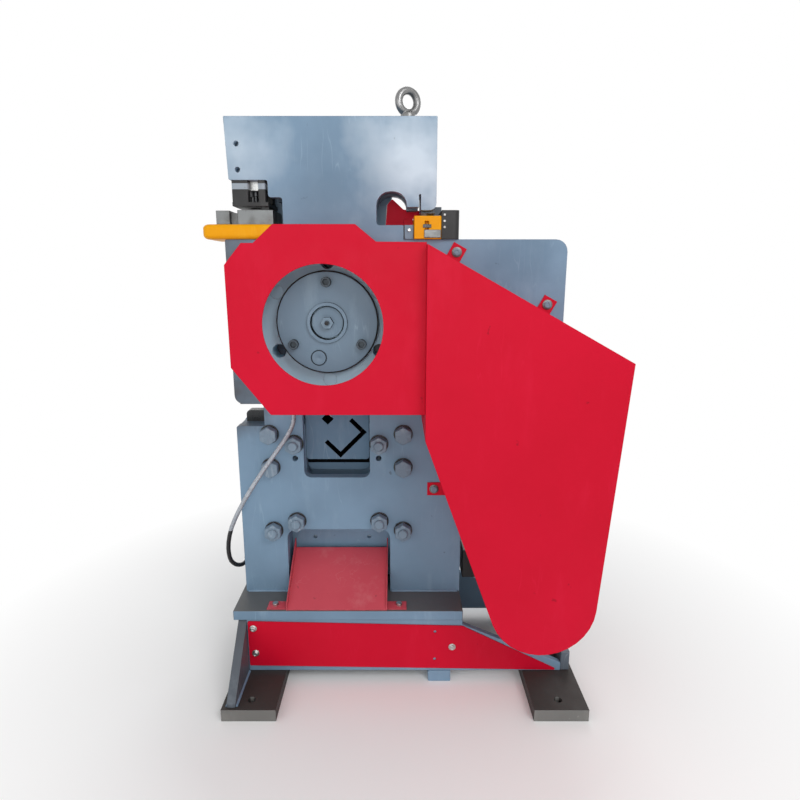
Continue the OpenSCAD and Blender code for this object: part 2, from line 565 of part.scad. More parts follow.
module hose() color(dark) place() let (n = 10, m = len(hose_path))
  polyhedron(points = [for (i = [0:m - 1]) each ring(hose_path, i, hose_d / 2, n)],
    faces = concat([[for (k = [0:n - 1]) k]], [[for (k = [n - 1:-1:0]) (m - 1) * n + k]],
      [for (i = [0:m - 2]) for (k = [0:n - 1]) each [
        [i * n + k, (i + 1) * n + k, (i + 1) * n + (k + 1) % n],
        [i * n + k, (i + 1) * n + (k + 1) % n, i * n + (k + 1) % n]]]));
module hose_glands() color(steel) place() union() {
  difference() {
    box([-133, -yo - 40, 826], [-103, -yo, 852]);
    ybar(-118, 839, -yo - 41, -yo - 30, 6);
  }
  ybar(-300, 310, hose_y + 92, hose_y + 108, hose_d + 9);
  box([-312, hose_y + 108, 298], [-286, hose_y + 122, 322]);
}

front_plate();
rear_plate();
left_spacer();
right_spacer();
left_guide();
right_guide();
top_spacer();
tie_bolts();
eyebolt();
base_plate();
left_foot();
right_foot();
left_gusset();
right_gusset();
front_beam();
rear_beam();
middle_foot();
front_panel();
panel_screws();
chute();
chute_screws();
gear_cover();
belt_guard();
guard_screws();
front_bush();
rear_bush();
counter_bushes();
fast_bushes();
punch_table();
die_block();
stripper();
notch_die();
notch_tool_block();
notch_guard();
lower_blade();
fixed_section_blade();
motor_stand();
motor_body();
motor_fan_cover();
terminal_box();
v_belts();
hose();
hose_glands();
slide_plate();
punch_holder();
punch();
upper_blade();
moving_section_blade();
notch_punch();
eccentric_shaft();
grease_fitting();
drive_block();
main_gear();
hub_cover();
hub_screws();
counter_shaft();
flywheel_shaft();
flywheel();
motor_rotor();
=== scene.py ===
import json
import math

import bmesh
import bpy
import numpy as np
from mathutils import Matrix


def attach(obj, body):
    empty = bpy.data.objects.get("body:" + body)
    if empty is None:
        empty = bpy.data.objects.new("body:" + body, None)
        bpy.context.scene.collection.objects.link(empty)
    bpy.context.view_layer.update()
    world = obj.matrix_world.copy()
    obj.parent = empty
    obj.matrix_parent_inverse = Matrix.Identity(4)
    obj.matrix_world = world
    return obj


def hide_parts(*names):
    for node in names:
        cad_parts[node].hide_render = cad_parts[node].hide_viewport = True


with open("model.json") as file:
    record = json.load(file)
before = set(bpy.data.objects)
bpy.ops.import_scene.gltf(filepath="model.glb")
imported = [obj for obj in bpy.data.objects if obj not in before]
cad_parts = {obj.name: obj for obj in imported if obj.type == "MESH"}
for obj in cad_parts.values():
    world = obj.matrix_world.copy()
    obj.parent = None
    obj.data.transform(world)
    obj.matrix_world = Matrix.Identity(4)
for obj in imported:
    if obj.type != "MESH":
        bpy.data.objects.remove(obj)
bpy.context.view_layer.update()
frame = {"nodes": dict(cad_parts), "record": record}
NODES = frame["nodes"]

# The scene is written in millimetres from the working axis, like the part's source.
MM = 0.001
MERGE = 2e-6            # metres within which a piece's points are one
NODE_MERGE = 2e-5       # the same for a CAD node with a soft edge
AXIS_X = -198.0         # working axis in the row frame
FRONT_Y = -65.0         # front face of the frame plates
SHAFT_Z = 1075.0        # height of the main shaft
HUB_Y = -210.0          # front face of the hub disc
BASE_Z, BASE_LOW = 234.0, 204.0
FOOT_Z = 35.0
PHOTO_PX, FOCAL_PX = 800.0, 575.0       # photograph's width and focal length in pixels
AXIS_LEFT_PX, PITCH_DOWN = 2.0, 12.5    # its axis is that far left of the middle; pitch in degrees
CAMERA_AT, SENSOR_MM = (-0.018, -1.682, 1.200), 36.0


def make_camera():
    """Pinhole camera of the photograph: no roll or turn, pitched down, its axis a little to the left."""
    data = bpy.data.cameras.new("photo_camera")
    data.sensor_width = SENSOR_MM
    data.lens = SENSOR_MM * FOCAL_PX / PHOTO_PX
    data.shift_x = AXIS_LEFT_PX / PHOTO_PX
    data.clip_end = 50.0
    cam = bpy.data.objects.new("photo_camera", data)
    cam.location = CAMERA_AT
    cam.rotation_euler = (math.radians(90.0 - PITCH_DOWN), 0.0, 0.0)
    bpy.context.scene.collection.objects.link(cam)
    bpy.context.scene.camera = cam


make_camera()


# Surfaces
def grid(points, wrap_u=False, wrap_v=True):
    """Vertices and quads of an (n, m, 3) grid: cell (i, j) joins rows i, i + 1 and columns j, j + 1."""
    n, m = points.shape[:2]
    i = np.arange(n if wrap_u else n - 1)[:, None]
    j = np.arange(m if wrap_v else m - 1)[None, :]
    i2, j2 = (i + 1) % n, (j + 1) % m
    quads = np.stack([i * m + j, i * m + j2, i2 * m + j2, i2 * m + j], axis=-1).reshape(-1, 4)
    return points.reshape(-1, 3), quads


def capped(rings):
    """A tube's grid with its first and last rings drawn in to their centres, so that it is closed."""
    first = np.repeat(rings[:1].mean(axis=1, keepdims=True), rings.shape[1], axis=1)
    last = np.repeat(rings[-1:].mean(axis=1, keepdims=True), rings.shape[1], axis=1)
    return grid(np.concatenate([first, rings, last], axis=0))


def turned(x, z, profile, n=48, limit=None):
    """Profile of (y, r) pairs turned about the line through (x, z) along Y; limit(angle) caps the radius."""
    p = np.asarray(profile, float)
    a = np.linspace(0, 2 * np.pi, n, endpoint=False)
    r = np.repeat(p[:, 1:2], n, axis=1)
    if limit is not None:
        r = np.minimum(r, limit(a)[None, :])
    y = np.repeat(p[:, 0:1], n, axis=1)
    return capped(np.stack([x + r * np.cos(a), y, z + r * np.sin(a)], axis=-1))


def hexagon(flats):
    """Radius of a hexagon of that width across flats: (flats / 2) / cos(angle to the nearest flat)."""
    return lambda a: (flats / 2) / np.cos((a + np.pi / 6) % (np.pi / 3) - np.pi / 6)


def carried(path, radius, ripple, n=8):
    """Circle carried along a path, its radius scaled by ripple(s) at the arc length s."""
    p = np.asarray(path, float)
    t = np.gradient(p, axis=0)
    t /= np.linalg.norm(t, axis=1, keepdims=True)
    side = np.where(np.abs(t[:, 1:2]) < 0.9, [[0.0, 1.0, 0.0]], [[0.0, 0.0, 1.0]])
    u = np.cross(t, side)
    u /= np.linalg.norm(u, axis=1, keepdims=True)
    v = np.cross(t, u)
    s = np.concatenate([[0], np.cumsum(np.linalg.norm(np.diff(p, axis=0), axis=1))])
    a = np.linspace(0, 2 * np.pi, n, endpoint=False)[None, :, None]
    ring = u[:, None, :] * np.cos(a) + v[:, None, :] * np.sin(a)
    return capped(p[:, None, :] + (radius * ripple(s))[:, None, None] * ring)


def piece(name, parts, body, finish, sharp=35.0, replaces=()):
    """One object from (vertices, quads) pairs: doubles merged, faces outwards, edges sharp above an angle."""
    starts = np.cumsum([0] + [len(v) for v, _ in parts])
    v = (np.concatenate([v for v, _ in parts]) + [AXIS_X, 0.0, 0.0]) * MM
    f = np.concatenate([f + start for (_, f), start in zip(parts, starts)])
    mesh = bpy.data.meshes.new(name)
    mesh.from_pydata(v.tolist(), [], f.tolist())
    bm = bmesh.new()
    bm.from_mesh(mesh)
    bmesh.ops.remove_doubles(bm, verts=bm.verts, dist=MERGE)
    bmesh.ops.dissolve_degenerate(bm, edges=bm.edges, dist=MERGE / 2)
    bmesh.ops.recalc_face_normals(bm, faces=bm.faces)
    bm.to_mesh(mesh)
    bm.free()
    mesh.shade_smooth()
    mesh.set_sharp_from_angle(angle=math.radians(sharp))
    mesh.materials.append(finish)
    obj = bpy.data.objects.new(name, mesh)
    bpy.context.scene.collection.objects.link(obj)
    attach(obj, body)
    if replaces:
        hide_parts(*replaces)


# Hose: a cord from gland to gland
HOSE_Y, HOSE_R = FRONT_Y - 24.0, 6.5
HOSE_POINTS = np.array([
    [-118, HOSE_Y, 826], [-118, HOSE_Y, 813], [-118, HOSE_Y, 800], [-120.5, HOSE_Y - 3, 778],
    [-134, HOSE_Y - 13, 748], [-163, HOSE_Y - 25, 706], [-205, HOSE_Y - 33, 648],
    [-246, HOSE_Y - 33, 586], [-283, HOSE_Y - 25, 524], [-312, HOSE_Y - 14, 464],
    [-327, HOSE_Y - 5, 412], [-330, HOSE_Y, 374], [-327, HOSE_Y + 8, 345], [-317.5, HOSE_Y + 25, 323],
    [-306.5, HOSE_Y + 46, 312], [-300, HOSE_Y + 68, 310], [-300, HOSE_Y + 80, 310],
    [-300, HOSE_Y + 92, 310]], float)


def smooth_route(p, steps):
    """Catmull-Rom curve through the points, sampled the same number of times in each stretch."""
    q = np.concatenate([p[:1], p, p[-1:]])
    a, b, c, d = q[:-3, None], q[1:-2, None], q[2:-1, None], q[3:, None]
    t = np.linspace(0, 1, steps, endpoint=False)[None, :, None]
    run = 0.5 * (2 * b + (c - a) * t + (2 * a - 5 * b + 4 * c - d) * t**2 + (3 * b - a - 3 * c + d) * t**3)
    return np.concatenate([run.reshape(-1, 3), p[-1:]])


def make_hose(finish):
    """The hose as one open curve with a round section, on the route of its CAD solid."""
    run = (smooth_route(HOSE_POINTS, 2) + [AXIS_X, 0, 0]) * MM
    data = bpy.data.curves.new("conduit_hose", "CURVE")
    data.dimensions = "3D"
    data.bevel_depth = HOSE_R * MM
    data.bevel_resolution = 5
    data.use_fill_caps = True
    line = data.splines.new("POLY")
    line.points.add(len(run) - 1)
    line.points.foreach_set("co", np.c_[run, np.ones(len(run))].ravel())
    line.use_smooth = True
    data.materials.append(finish)
    obj = bpy.data.objects.new("conduit_hose", data)
    bpy.context.scene.collection.objects.link(obj)
    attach(obj, "frame")
    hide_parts("hose")


# Finishes
class Finish:
    """A node material under construction: each method adds nodes and returns an output socket."""

    def __init__(self, name):
        self.mat = bpy.data.materials.new(name)
        self.mat.use_nodes = True
        self.tree = self.mat.node_tree
        self.bsdf = self.tree.nodes["Principled BSDF"]
        self.coord = self.tree.nodes.new("ShaderNodeTexCoord").outputs["Object"]
        self.flat = self.tree.nodes.new("ShaderNodeNewGeometry").outputs["Normal"]

    def add(self, kind, inputs=None, **props):
        node = self.tree.nodes.new(kind)
        for key, value in props.items():
            setattr(node, key, value)
        for key, value in (inputs or {}).items():
            self.put(node.inputs[key], value)
        return node

    def put(self, socket, value):
        if isinstance(value, bpy.types.NodeSocket):
            self.tree.links.new(value, socket)
        else:
            socket.default_value = value

    def noise(self, scale, detail=4.0, rough=0.55, stretch=None):
        vec = self.coord
        if stretch is not None:
            vec = self.add("ShaderNodeMapping", {"Vector": vec, "Scale": stretch}).outputs[0]
        return self.add("ShaderNodeTexNoise", {"Vector": vec, "Scale": scale, "Detail": detail,
                                               "Roughness": rough}).outputs["Fac"]

    def span(self, value, low, high, to_low=0.0, to_high=1.0):
        return self.add("ShaderNodeMapRange", {"Value": value, "From Min": low, "From Max": high,
                                               "To Min": to_low, "To Max": to_high}).outputs[0]

    def math(self, op, a, b=0.0):
        return self.add("ShaderNodeMath", {0: a, 1: b}, operation=op).outputs[0]

    def vector(self, op, a, b=(0.0, 0.0, 0.0)):
        return self.add("ShaderNodeVectorMath", {0: a, 1: b}, operation=op).outputs["Value"]

    def part(self, vec, axis):
        return self.add("ShaderNodeSeparateXYZ", {0: vec}).outputs[axis]

    def mix(self, fac, a, b):
        node = self.add("ShaderNodeMix", data_type="RGBA")
        for index, value in ((0, fac), (6, a), (7, b)):
            self.put(node.inputs[index], value)
        return node.outputs[2]

    def scratches(self, scale, stretch):
        """Thin sparse lines: where a stretched noise crosses its middle value, kept only in a few patches."""
        near = self.math("ABSOLUTE", self.math("SUBTRACT", self.noise(scale, 2.0, 0.5, stretch), 0.5))
        patch = self.span(self.noise(5.0, 3.0), 0.52, 0.66)
        return self.math("MULTIPLY", self.span(near, 0.012, 0.0), patch)

    def edges(self, radius):
        """Rounded normal of an edge, and a mask of how far it leans from the flat normal."""
        soft = self.add("ShaderNodeBevel", {"Radius": radius}, samples=4).outputs[0]
        dot = self.vector("DOT_PRODUCT", soft, self.flat)
        return soft, self.span(dot, 0.995, 0.86)

    def zone(self, axis, low, high):
        """1 between two positions along an axis and 0 outside them, with a 1 mm blend."""
        place = self.part(self.coord, axis)
        return self.math("MULTIPLY", self.span(place, low, low + MM), self.span(place, high, high - MM))

    def spot(self, centre, radius):
        """1 at a place, fading to 0 at the radius, with an edge broken up by noise."""
        off = self.vector("DISTANCE", self.coord, centre)
        ragged = self.math("ADD", off, self.span(self.noise(9.0, 3.0), 0.3, 0.7, -0.3 * radius, 0.3 * radius))
        return self.span(ragged, radius, 0.1 * radius)

    def facing_front(self):
        """1 on faces that look to the front or the rear and 0 on the others."""
        return self.span(self.math("ABSOLUTE", self.part(self.flat, "Y")), 0.8, 0.95)

    def shade(self, color, rough, relief, depth, normal=None, **fixed):
        """Sets colour, roughness and a bump of the given depth; the other sockets take constants."""
        bump = self.add("ShaderNodeBump", {"Height": relief, "Strength": 1.0, "Distance": depth})
        if normal is not None:
            self.put(bump.inputs["Normal"], normal)
        self.put(self.bsdf.inputs["Normal"], bump.outputs[0])
        self.put(self.bsdf.inputs["Base Color"], color)
        self.put(self.bsdf.inputs["Roughness"], rough)
        for key, value in fixed.items():
            self.bsdf.inputs[key.replace("_", " ")].default_value = value
        return self.mat


def rgb(r, g, b):
    """Linear colour of the 0-255 values that a finish should show."""
    c = np.array([r, g, b]) / 255.0
    lin = np.where(c <= 0.04045, c / 12.92, ((c + 0.055) / 1.055) ** 2.4)
    return (*lin.tolist(), 1.0)


def enamel(name, base, deep, light, worn, wear=0.6, rough=0.42, edge=0.0022, walls=None, shine=0.4, zone=None,
           rubbed=0.6, patches=()):
    """Sprayed enamel: cloudy tone, rubbed streaks, sparse scratches, fine peel and edges darker in broken
    runs.

    walls is the colour of faces that don't look to the front or rear; zone is an axis, its limits and their
    colour; patches lists the centres, radii, strengths and colours of painted highlights and painted shade."""
    f = Finish(name)
    tone = f.mix(f.span(f.noise(2.1, 5.0), 0.32, 0.68), deep, base)
    if zone is not None:
        tone = f.mix(f.zone(*zone[:3]), tone, zone[3])
    rub = f.span(f.noise(11.0, 6.0, 0.65, (1.0, 1.0, 0.25)), 0.56, 0.8)
    tone = f.mix(f.math("MULTIPLY", rub, rubbed), tone, light)
    # Painted light: each spot mixes in its painted highlight or painted shade colour.
    for centre, radius, strength, colour in patches:
        tone = f.mix(f.math("MULTIPLY", f.spot(centre, radius), strength), tone, colour)
    lines = f.scratches(26.0, (1.0, 1.0, 0.12))
    tone = f.mix(f.math("MULTIPLY", lines, rubbed * 0.8), tone, light)
    soft, rim = f.edges(edge)
    chips = f.math("MULTIPLY", rim, f.span(f.noise(55.0, 5.0), 0.40, 0.60))
    tone = f.mix(f.math("MULTIPLY", chips, wear), tone, worn)
    spots = f.span(f.noise(34.0, 2.0), 0.73, 0.77)
    tone = f.mix(f.math("MULTIPLY", spots, 0.45), tone, worn)
    # Faces that don't look to the front or rear take the walls colour: painted shade on the blades, base, hub
    # and screws, and the feet's own colour.
    if walls is not None:
        tone = f.mix(f.facing_front(), walls, tone)
    gloss = f.span(f.noise(24.0, 4.0), 0.25, 0.75, rough - 0.08, rough + 0.1)
    gloss = f.math("ADD", gloss, f.math("MULTIPLY", chips, 0.2))
    peel = f.math("SUBTRACT", f.noise(380.0, 3.0), f.math("MULTIPLY", chips, 0.8))
    return f.shade(tone, gloss, peel, 0.00025, soft, Specular_IOR_Level=shine)


def machined(name, base, dirt, rough=0.34, rim_tone=(0.7, 0.7, 0.71, 1.0)):
    """Machined metal: fine drawn grain along Z, oily dirt in clouds, small pits, brighter edges."""
    f = Finish(name)
    oil = f.span(f.noise(20.0, 6.0, 0.6), 0.45, 0.75)
    tone = f.mix(f.math("MULTIPLY", oil, 0.6), base, dirt)
    soft, rim = f.edges(0.0012)
    tone = f.mix(f.math("MULTIPLY", rim, 0.45), tone, rim_tone)
    grit = f.noise(150.0, 3.0, 0.5, (1.0, 1.0, 10.0))
    pits = f.span(f.noise(90.0, 2.0), 0.7, 0.76)
    tone = f.mix(f.math("MULTIPLY", pits, 0.5), tone, dirt)
    gloss = f.span(f.math("ADD", grit, oil), 0.4, 1.6, rough - 0.08, rough + 0.2)
    return f.shade(tone, gloss, f.math("SUBTRACT", grit, pits), 0.0002, soft, Metallic=1.0)


def sheath(name, base, dust, metal, rough, dark_end=-1.0):
    """Hose or belt skin: fine cross ribs along Z, dust in clouds, a soft shine; black below dark_end."""
    f = Finish(name)
    cloud = f.span(f.noise(36.0, 5.0), 0.5, 0.8)
    ribs = f.math("SINE", f.math("MULTIPLY", f.part(f.coord, "Z"), 2600.0))
    relief = f.math("ADD", ribs, f.noise(260.0, 3.0))
    tone = f.mix(f.zone("Z", -1.1, dark_end), f.mix(cloud, base, dust), rgb(40, 40, 42))
    return f.shade(tone, f.span(cloud, 0.0, 1.0, rough, rough + 0.2), relief, 0.0002, Metallic=metal)


PAINT = dict(base=rgb(122, 151, 176), deep=rgb(101, 127, 149), light=rgb(166, 190, 208), worn=rgb(46, 52, 60))
# Painted light on the frame's front face: the pale spots at the head are painted highlights, the dull blue
# spots on the right plate and the head's middle are painted shade, and the grey spots left of the gear cover
# are that cover's painted shadow.
PAINTED_HIGHLIGHT, PAINTED_SHADE, PAINTED_SHADOW = rgb(208, 222, 233), rgb(82, 112, 136), rgb(74, 76, 78)
PAINTED_LIGHT_SPOTS = [((-0.44, -0.065, 1.51), 0.16, 0.5, PAINTED_HIGHLIGHT), ((0.01, -0.065, 1.50), 0.17, 0.8, PAINTED_HIGHLIGHT),
           ((0.09, -0.065, 1.42), 0.10, 0.35, PAINTED_HIGHLIGHT), ((0.29, -0.065, 1.22), 0.20, 0.6, PAINTED_SHADE),
           ((-0.19, -0.065, 1.42), 0.18, 0.5, PAINTED_SHADE), ((-0.52, -0.065, 1.24), 0.14, 0.9, PAINTED_SHADOW),
           ((-0.50, -0.065, 0.85), 0.16, 0.95, PAINTED_SHADOW)]
FRAME_PAINT = enamel("frame_enamel_painted_light", **PAINT, rubbed=0.3, patches=PAINTED_LIGHT_SPOTS)
# The base's top and side faces are darker than its front and rear: painted shade.
BASE_PAINT = enamel("base_worn_enamel", **PAINT, walls=rgb(92, 95, 96))
# Blade faces that don't look to the front or rear, the walls of the section slots, are near black: painted
# shade inside the slots.
BLADE = dict(base=rgb(108, 134, 156), deep=rgb(92, 115, 135), light=rgb(140, 160, 176), worn=rgb(40, 45, 52),
             rough=0.6, walls=rgb(14, 15, 16), shine=0.0)
BLADE_PAINT = enamel("blade_painted_face", **BLADE)
# The back blade is also near black from 632 to 900 mm up, where it shows through the slots: painted shade.
BACK_BLADE_PAINT = enamel("blade_painted_shade_behind", **BLADE, rubbed=0.1, zone=("Z", 0.632, 0.9, rgb(12, 13, 15)))
GUSSET_PAINT = enamel("gusset_dull_enamel", rgb(96, 108, 120), rgb(72, 76, 82), rgb(140, 150, 158),
                      rgb(40, 40, 42), 0.8)
# Faces that don't look to the front or rear, the hub's and shaft's sides, are near black: painted shade.
HUB_PAINT = enamel("hub_grey_enamel", rgb(112, 133, 152), rgb(98, 118, 136), rgb(146, 166, 182),
                   rgb(34, 40, 48), 0.9, walls=rgb(22, 26, 30))
# Far paler than the frame's paint, which the gear ring shares, to make up for the gear cover's shadow over it:
# painted light.
RING_PAINT = enamel("ring_enamel_painted_light", rgb(196, 228, 246), rgb(178, 212, 234), rgb(214, 236, 248),
                    rgb(60, 66, 74), 0.7)
# The grease fitting's sides and hollow are near black: painted shade.
SCREW_PAINT = enamel("screw_enamel_dark_sides", rgb(124, 145, 163), rgb(100, 118, 134), rgb(172, 186, 196),
                     rgb(30, 33, 38), 0.9, walls=rgb(26, 30, 35))
# The hub screws' sides and sockets are near black: painted shade.
SCREW_DARK = enamel("screw_dark_enamel_painted_shade_sides", rgb(66, 78, 88), rgb(52, 62, 71), rgb(96, 110, 122), rgb(20, 22, 25),
                    0.9, walls=rgb(22, 25, 29))
BOLT_PAINT = enamel("bolt_painted_zinc", rgb(124, 145, 163), rgb(100, 118, 134), rgb(172, 186, 196),
                    rgb(30, 33, 38), 0.95, rough=0.36, edge=0.0018)
COVER_RED = enamel("cover_crimson_enamel", rgb(201, 6, 44), rgb(192, 5, 38), rgb(206, 22, 56),
                   rgb(112, 8, 24), 0.4, rough=0.5, edge=0.0016, shine=0.14)
# Brighter and redder than the cover's paint, so that the guard, which lies in shade behind the plates, shows
# lit: painted light.
GUARD_RED = enamel("guard_crimson_enamel", rgb(255, 12, 56), rgb(246, 8, 48), rgb(255, 44, 84),
                   rgb(130, 8, 24), 0.5, shine=0.12)
CHUTE_RED = enamel("chute_scuffed_red", rgb(206, 82, 96), rgb(190, 68, 82), rgb(206, 122, 128),
                   rgb(104, 54, 56), 0.8, rough=0.62)
TABLE_YELLOW = enamel("table_amber_enamel", rgb(242, 172, 4), rgb(228, 152, 4), rgb(246, 196, 60),
                      rgb(92, 70, 34), 0.8, shine=0.15)
FOOT_PAINT = enamel("foot_worn_primer", rgb(120, 120, 118), rgb(100, 98, 95), rgb(140, 138, 134),
                    rgb(160, 158, 154), 0.6, rough=0.6, walls=rgb(52, 48, 46))
TOOL_BLOCK = enamel("tool_block_two_tone", rgb(30, 31, 33), rgb(21, 22, 23), rgb(58, 59, 60), rgb(96, 96, 96),
                    0.6, zone=("X", -0.02, 0.0305, rgb(112, 134, 152)))
STRIPPER_DARK = enamel("stripper_oiled_steel", rgb(36, 37, 38), rgb(22, 23, 24), rgb(84, 85, 86),
                       rgb(120, 120, 120), 0.5, zone=("Z", 1.4165, 1.4325, rgb(148, 160, 170)))
MOTOR_BLACK = enamel("motor_black_enamel", rgb(26, 27, 29), rgb(17, 17, 19), rgb(50, 51, 53), rgb(84, 84, 84),
                     0.5)
STEEL = machined("machined_steel", (0.56, 0.57, 0.56, 1), (0.20, 0.19, 0.17, 1))
DIE_STEEL = machined("die_ground_steel", (0.17, 0.178, 0.18, 1), (0.09, 0.088, 0.08, 1), 0.4,
                     rim_tone=(0.4, 0.4, 0.4, 1))
TOOL_STEEL = machined("dark_tool_steel", (0.055, 0.057, 0.06, 1), (0.02, 0.02, 0.02, 1), 0.34,
                      rim_tone=(0.3, 0.3, 0.3, 1))
EYE_STEEL = machined("eye_forged_steel", (0.24, 0.24, 0.24, 1), (0.08, 0.08, 0.075, 1), 0.3)
GEAR_IRON = machined("oiled_gear_iron", (0.10, 0.10, 0.105, 1), (0.03, 0.03, 0.03, 1), 0.42)
BRONZE = machined("block_bronze", (0.55, 0.33, 0.13, 1), (0.2, 0.1, 0.04, 1), 0.36,
                  rim_tone=(0.7, 0.5, 0.25, 1))
HOSE_SKIN = sheath("hose_grey_sheath", rgb(160, 166, 174), rgb(182, 187, 192), 0.5, 0.25, 0.455)
BELT_RUBBER = sheath("belt_black_rubber", rgb(24, 24, 26), rgb(66, 66, 68), 0.0, 0.55)
make_hose(HOSE_SKIN)

BY_SLOT = {"frame_paint": FRAME_PAINT, "red_cover": COVER_RED, "yellow_paint": TABLE_YELLOW, "steel": STEEL,
           "dark_steel": TOOL_STEEL, "rubber": BELT_RUBBER, "motor_paint": MOTOR_BLACK, "bronze": BRONZE,
           "foot_paint": FOOT_PAINT}
BY_NODE = {"hub_cover": HUB_PAINT, "hub_screws": SCREW_DARK, "tie_bolts": BOLT_PAINT, "chute": CHUTE_RED,
           "main_gear": RING_PAINT, "eccentric_shaft": HUB_PAINT, "grease_fitting": SCREW_PAINT,
           "counter_shaft": GEAR_IRON, "flywheel": GEAR_IRON, "lower_blade": TOOL_STEEL,
           "moving_section_blade": BLADE_PAINT, "fixed_section_blade": BACK_BLADE_PAINT,
           "base_plate": BASE_PAINT, "left_gusset": GUSSET_PAINT, "right_gusset": GUSSET_PAINT,
           "notch_guard": GUARD_RED, "notch_tool_block": TOOL_BLOCK, "stripper": STRIPPER_DARK,
           "die_block": DIE_STEEL, "front_bush": DIE_STEEL, "rear_bush": DIE_STEEL,
           "counter_bushes": DIE_STEEL, "fast_bushes": DIE_STEEL}
SLOT_OF = {sub["node"]: sub["material_slot"] for sub in frame["record"]["subparts"]}
SOFT_EDGES = {"front_plate": 1.5, "rear_plate": 1.5, "base_plate": 2.5, "left_gusset": 2.5,
              "right_gusset": 2.5, "front_beam": 1.5, "rear_beam": 1.5, "middle_foot": 2.0, "gear_cover": 1.2,
              "front_panel": 0.8, "die_block": 2.0, "notch_die": 2.5, "notch_tool_block": 2.0,
              "terminal_box": 4.0, "motor_stand": 1.5, "punch_holder": 2.0, "hub_cover": 1.5}


def dress_nodes():
    """Gives each CAD node its finish and, where it has plain corners, a small rounded edge."""
    for name, obj in NODES.items():
        obj.data.materials.clear()
        obj.data.materials.append(BY_NODE.get(name, BY_SLOT[SLOT_OF[name]]))
        if name in SOFT_EDGES:
            obj.modifiers.new("weld", "WELD").merge_threshold = NODE_MERGE
            edge = obj.modifiers.new("soft_edge", "BEVEL")
            edge.width = SOFT_EDGES[name] * MM
            edge.segments = 2
            edge.limit_method = "ANGLE"
            edge.angle_limit = math.radians(38)
            edge.harden_normals = True


dress_nodes()


# Fasteners
HEADED = [(-195, 740), (-195, 639), (195, 740), (195, 639)]
NUTTED = [(-195, 438), (195, 438), (-124, 710), (-124, 468), (124, 710), (124, 468)]
NUT_FLATS, STUD_R, THREAD = 46.0, 15.0, 3.5
WASHER_T, WASHER_RIM, NUT_END, STUD_END = 4, 5, 28, 36      # heights are from the plate's face


def chamfered_hex(x, z, y0, y1, flats):
    """Hexagon cut by a 30 degree cone at both faces: radius is the smaller of hexagon and cone."""
    corner = flats / 2 / math.cos(math.pi / 6)
    inner = flats / 2 * 0.97
    rise = math.copysign((corner - inner) * math.tan(math.pi / 6), y1 - y0)
    share = np.array([0.0, 0.5, 1.0])
    cone = np.c_[y0 + rise * share, inner + (corner - inner) * share]
    back = np.c_[y1 - rise * share, inner + (corner - inner) * share][::-1]
    return turned(x, z, np.concatenate([cone, back]), 72, hexagon(flats))


def washer(x, z, y0, y1, r):
    """Flat washer with a rounded outer edge."""
    e = (y1 - y0) * 0.25
    return turned(x, z, [(y0, r - 1), (y0 + e, r), (y1 - e, r), (y1, r - 1)], 40)


def threaded_end(x, z, root, tip, r):
    """Stud end: radius r with a triangle wave of (y / pitch + angle / turn), drawn in over the last 3 mm."""
    y = np.linspace(root, tip, 30)[:, None]
    a = np.linspace(0, 2 * np.pi, 28, endpoint=False)[None, :]
    wave = np.abs((y / THREAD + a / (2 * np.pi)) % 1.0 - 0.5)
    rad = (r - 0.9 + 1.8 * wave) * np.minimum(1.0, 0.82 + np.abs(y - tip) / 16.0)
    return capped(np.stack([x + rad * np.cos(a), y + 0 * a, z + rad * np.sin(a)], axis=-1))


def tie_bolt_parts():
    """Hexagon nuts or heads, their washers, and the threaded ends of the nutted bolts, on both plate faces."""
    rings, hexes, ends = [], [], []
    for side in (-1, 1):
        face = -side * FRONT_Y
        for x, z in HEADED + NUTTED:
            rings.append(washer(x, z, face, face + side * WASHER_T, NUT_FLATS / 2 + WASHER_RIM))
            hexes.append(chamfered_hex(x, z, face + side * WASHER_T, face + side * NUT_END, NUT_FLATS))
        ends += [threaded_end(x, z, face + side * (NUT_END - 1), face + side * STUD_END, STUD_R)
                 for x, z in NUTTED]
    return rings, hexes, ends


bolt_rings, bolt_hexes, bolt_ends = tie_bolt_parts()
piece("tie_bolt_hexes", bolt_hexes, "frame", BOLT_PAINT, replaces=["tie_bolts"])
# The washers take the dark tool steel, which also stands in for the shadow round each nut: painted shade.
piece("tie_bolt_washers", bolt_rings, "frame", TOOL_STEEL)
piece("tie_bolt_threads", bolt_ends, "frame", BOLT_PAINT)


def sheet_screws(spots, face, flats):
    """Washers, and domed hexagon heads with a dished top, for screws that hold sheet metal from the front."""
    rings = [washer(x, z, face, face - 2.2, flats * 0.76) for x, z in spots]
    dome = np.array([(2, 0.56), (5.4, 0.56), (6.6, 0.52), (7.4, 0.42), (7.4, 0.30), (6.8, 0.26)])
    heads = [turned(x, z, np.c_[face - dome[:, 0], dome[:, 1] * flats], 48, hexagon(flats)) for x, z in spots]
    return rings, heads


GUARD_SCREWS = [(340, 1254), (594, 1113), (287, 571)]
PANEL_SCREWS = [(-246, 177), (-243, 95), (340, 116)]
TAB_Y, PANEL_Y = FRONT_Y - 3.0, -175.0          # front faces of the guard's tabs and of the panel
GUARD_FLATS, PANEL_FLATS = 18.0, 14.0
guard_rings, guard_heads = sheet_screws(GUARD_SCREWS, TAB_Y, GUARD_FLATS)
piece("guard_screw_heads", guard_heads, "frame", BOLT_PAINT, replaces=["guard_screws"])
piece("guard_screw_washers", guard_rings, "frame", DIE_STEEL)
panel_rings, panel_heads = sheet_screws(PANEL_SCREWS, PANEL_Y, PANEL_FLATS)
piece("panel_screw_heads", panel_rings + panel_heads, "frame", STEEL, replaces=["panel_screws"])


